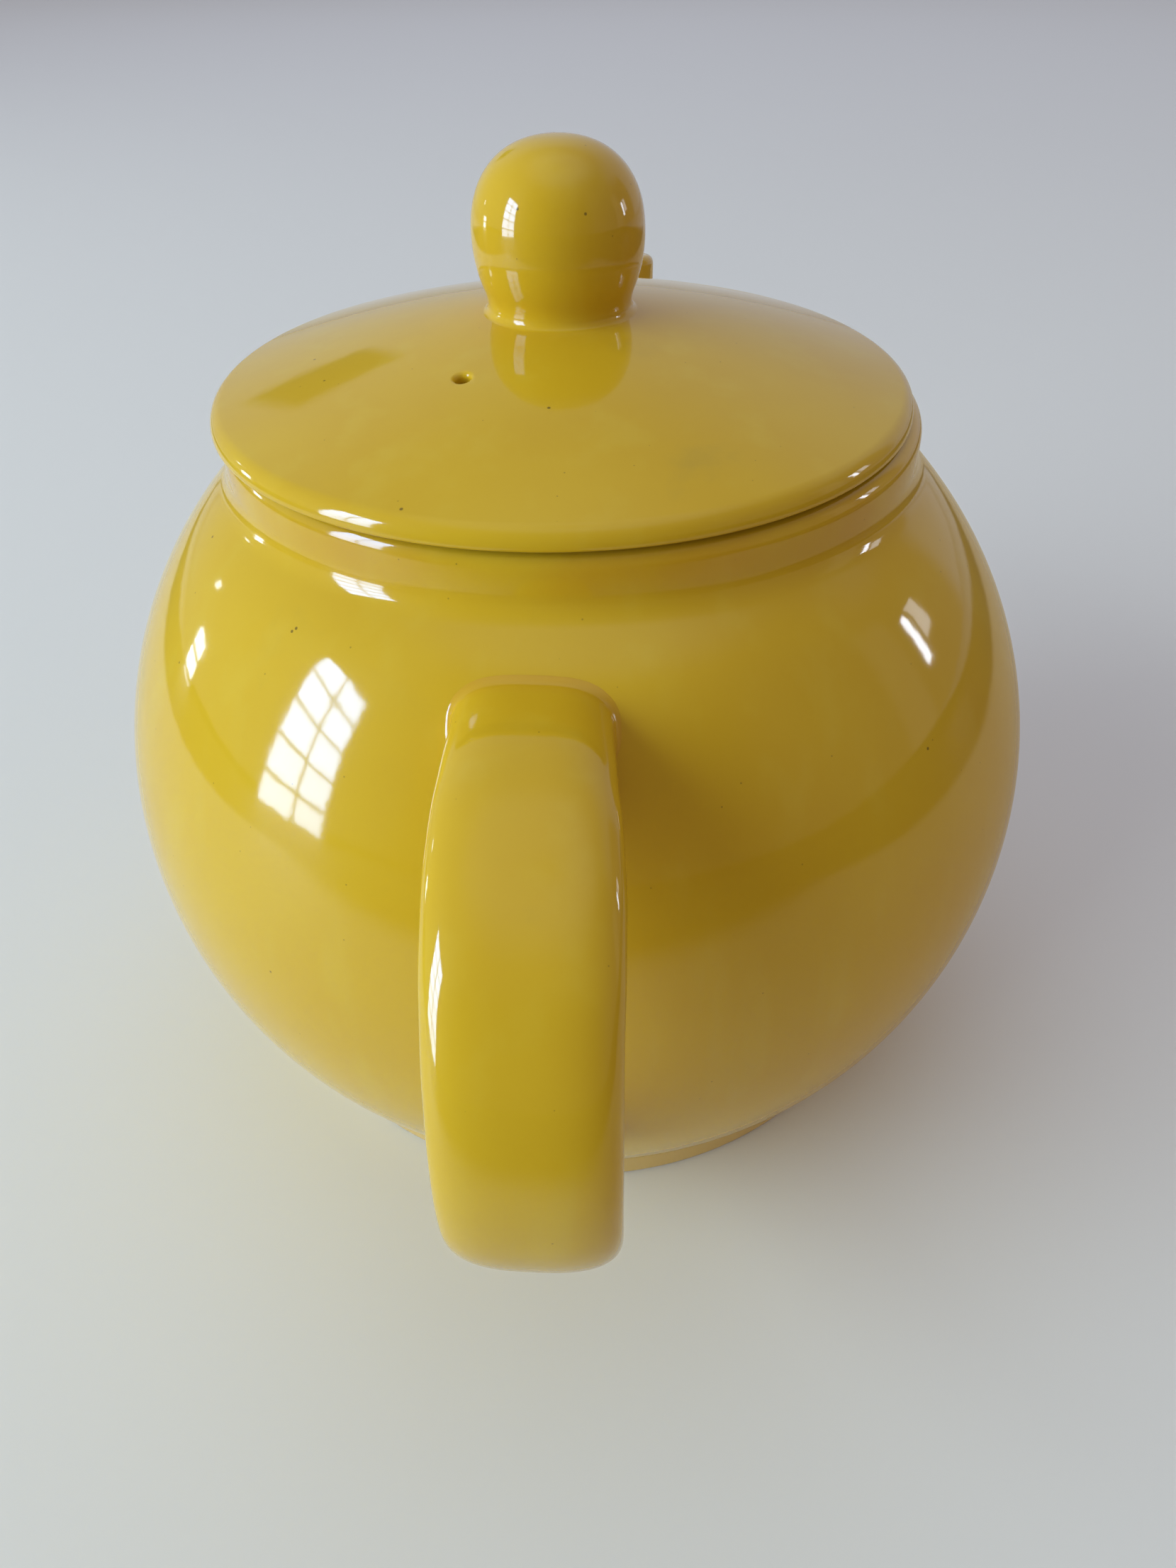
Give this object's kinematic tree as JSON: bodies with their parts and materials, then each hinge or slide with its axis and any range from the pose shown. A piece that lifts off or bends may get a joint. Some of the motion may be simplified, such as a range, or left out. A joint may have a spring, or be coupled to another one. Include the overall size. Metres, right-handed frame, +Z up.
{
  "type": "teapot",
  "caption": "Ball-shaped glazed ceramic teapot with a foot ring, flat strap handle, short curved spout and a domed lift-off lid with a ball knob.",
  "frame": {"origin": "on the axis of the pot, on the surface that the foot ring stands on", "axes": "+Z up along the axis of the pot, +X towards the spout, the handle on -X"},
  "size_m": [0.2117, 0.15, 0.1479],
  "materials": {
    "body_glaze": "glossy yellow glaze over earthenware",
    "spout_glaze": "glossy yellow glaze over earthenware",
    "handle_glaze": "glossy yellow glaze over earthenware",
    "lid_glaze": "glossy yellow glaze over earthenware",
    "knob_glaze": "glossy yellow glaze over earthenware"
  },
  "bodies": {
    "pot": {"pot_body": "body_glaze", "spout": "spout_glaze", "handle": "handle_glaze"},
    "lid": {"lid": "lid_glaze", "lid_knob": "knob_glaze"}
  },
  "joints": [
    {"name": "lid_lift", "type": "slide", "parent": "pot", "child": "lid", "axis": [0, 0, 1], "range_m": [0, 0.05]}
  ]
}
